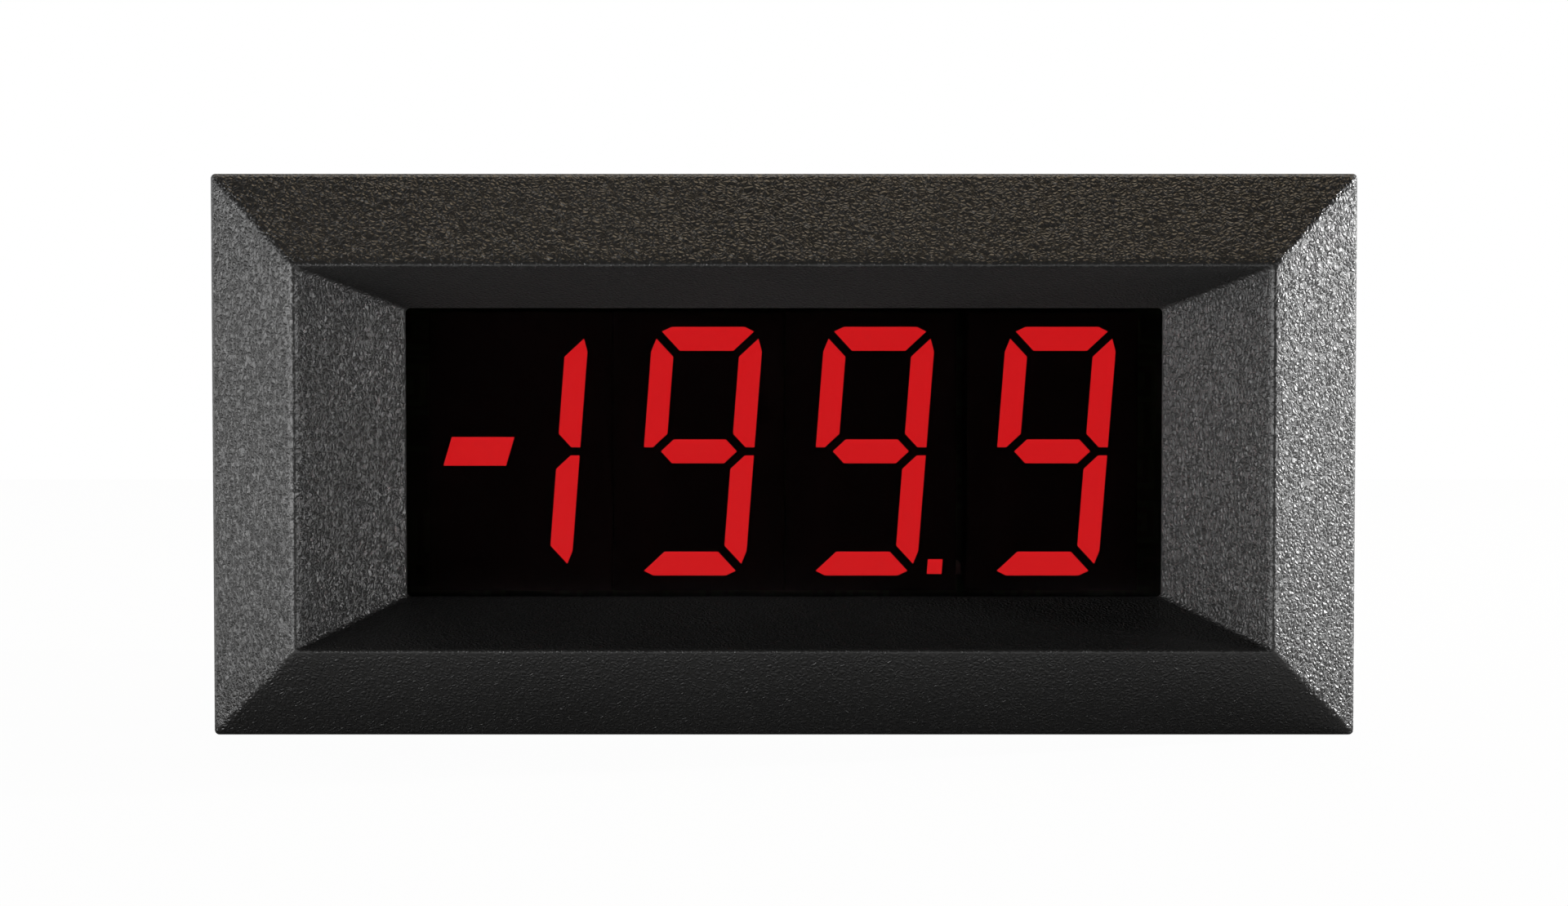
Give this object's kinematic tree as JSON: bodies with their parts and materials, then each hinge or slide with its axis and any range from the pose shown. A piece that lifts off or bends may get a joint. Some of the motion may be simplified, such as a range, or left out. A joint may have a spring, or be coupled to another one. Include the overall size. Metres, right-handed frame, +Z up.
{
  "type": "digital panel meter",
  "caption": "Black snap-in panel meter with a mitred bezel, recessed tinted window, red seven-segment digits, side clamps and a plug-in screw terminal.",
  "frame": {"origin": "centre of the panel cut-out, in the plane of the panel's front face, where the bezel's flange seats", "axes": "+X to the right as the display is read, +Y into the panel, away from the reader, +Z up"},
  "size_m": [0.072, 0.0622, 0.0354],
  "materials": {
    "bezel_plastic": "moulded black ABS with a fine leather grain",
    "case_plastic": "moulded black ABS, fine spark texture",
    "window_tint": "dark tinted acrylic, polished",
    "module_black": "black painted display face",
    "segment_lit": "lit red seven-segment bar",
    "segment_dark": "unlit segment, smoked resin",
    "board": "green solder mask over glass-epoxy laminate",
    "tinned_metal": "tin-plated brass and copper",
    "chip_black": "black moulding compound",
    "film_ochre": "boxed film capacitor",
    "can_sleeve": "shrink sleeve over an aluminium can",
    "resistor_beige": "lacquered resistor body",
    "trimmer_blue": "blue trimmer housing",
    "brass_screw": "turned brass",
    "terminal_green": "green glass-filled polyamide",
    "cage_steel": "nickel-plated steel",
    "screw_steel": "zinc-plated steel"
  },
  "bodies": {
    "root": {"bezel": "bezel_plastic", "window_filter": "window_tint", "case_tube": "case_plastic", "rear_cover": "case_plastic", "cover_screws": "screw_steel", "half_digit_module": "module_black", "digit_module_1": "module_black", "digit_module_2": "module_black", "digit_module_3": "module_black", "lit_sign_and_one": "segment_lit", "lit_segments_1": "segment_lit", "lit_segments_2": "segment_lit", "lit_segments_3": "segment_lit", "unlit_segments": "segment_dark", "display_leads": "tinned_metal", "display_board": "board", "link_strip": "chip_black", "link_pins": "tinned_metal", "main_board": "board", "converter_chip": "chip_black", "chip_leads": "tinned_metal", "film_capacitors": "film_ochre", "electrolytic_capacitor": "can_sleeve", "voltage_regulator": "chip_black", "resistors": "resistor_beige", "trimmer_body": "trimmer_blue", "terminal_header": "terminal_green", "header_pins": "tinned_metal"},
    "plug": {"plug_body": "terminal_green", "plug_contacts": "tinned_metal"},
    "clamp_left": {"clamp_left": "case_plastic"},
    "clamp_right": {"clamp_right": "case_plastic"},
    "trimmer": {"trimmer_screw": "brass_screw"},
    "screw_1": {"terminal_screw_1": "screw_steel"},
    "cage_1": {"wire_cage_1": "cage_steel"},
    "screw_2": {"terminal_screw_2": "screw_steel"},
    "cage_2": {"wire_cage_2": "cage_steel"},
    "screw_3": {"terminal_screw_3": "screw_steel"},
    "cage_3": {"wire_cage_3": "cage_steel"},
    "screw_4": {"terminal_screw_4": "screw_steel"},
    "cage_4": {"wire_cage_4": "cage_steel"}
  },
  "joints": [
    {"name": "clamp_left_slide", "type": "slide", "parent": "root", "child": "clamp_left", "axis": [0, 1, 0], "range_m": [-0.005, 0.014]},
    {"name": "clamp_right_slide", "type": "slide", "parent": "root", "child": "clamp_right", "axis": [0, 1, 0], "range_m": [-0.005, 0.014]},
    {"name": "plug_slide", "type": "slide", "parent": "root", "child": "plug", "axis": [0, 1, 0], "range_m": [0, 0.012]},
    {"name": "trimmer_turn", "type": "hinge", "parent": "root", "child": "trimmer", "pos_m": [0.0204, 0.044, -0.0014], "axis": [0, 1, 0], "continuous": true},
    {"name": "screw_1_turn", "type": "hinge", "parent": "plug", "child": "screw_1", "pos_m": [-0.01962, 0.05255, -0.0047], "axis": [0, 0, -1], "range_deg": [0, 1841]},
    {"name": "cage_1_rise", "type": "slide", "parent": "plug", "child": "cage_1", "axis": [0, 0, 1], "range_m": [0, 0.0023]},
    {"name": "screw_2_turn", "type": "hinge", "parent": "plug", "child": "screw_2", "pos_m": [-0.01454, 0.05255, -0.0047], "axis": [0, 0, -1], "range_deg": [0, 1841]},
    {"name": "cage_2_rise", "type": "slide", "parent": "plug", "child": "cage_2", "axis": [0, 0, 1], "range_m": [0, 0.0023]},
    {"name": "screw_3_turn", "type": "hinge", "parent": "plug", "child": "screw_3", "pos_m": [-0.00946, 0.05255, -0.0047], "axis": [0, 0, -1], "range_deg": [0, 1841]},
    {"name": "cage_3_rise", "type": "slide", "parent": "plug", "child": "cage_3", "axis": [0, 0, 1], "range_m": [0, 0.0023]},
    {"name": "screw_4_turn", "type": "hinge", "parent": "plug", "child": "screw_4", "pos_m": [-0.00438, 0.05255, -0.0047], "axis": [0, 0, -1], "range_deg": [0, 1841]},
    {"name": "cage_4_rise", "type": "slide", "parent": "plug", "child": "cage_4", "axis": [0, 0, 1], "range_m": [0, 0.0023]}
  ],
  "couplings": [
    {"joint": "screw_1_turn", "follows": "cage_1_rise", "rad_per_m": 13963},
    {"joint": "screw_2_turn", "follows": "cage_2_rise", "rad_per_m": 13963},
    {"joint": "screw_3_turn", "follows": "cage_3_rise", "rad_per_m": 13963},
    {"joint": "screw_4_turn", "follows": "cage_4_rise", "rad_per_m": 13963}
  ]
}
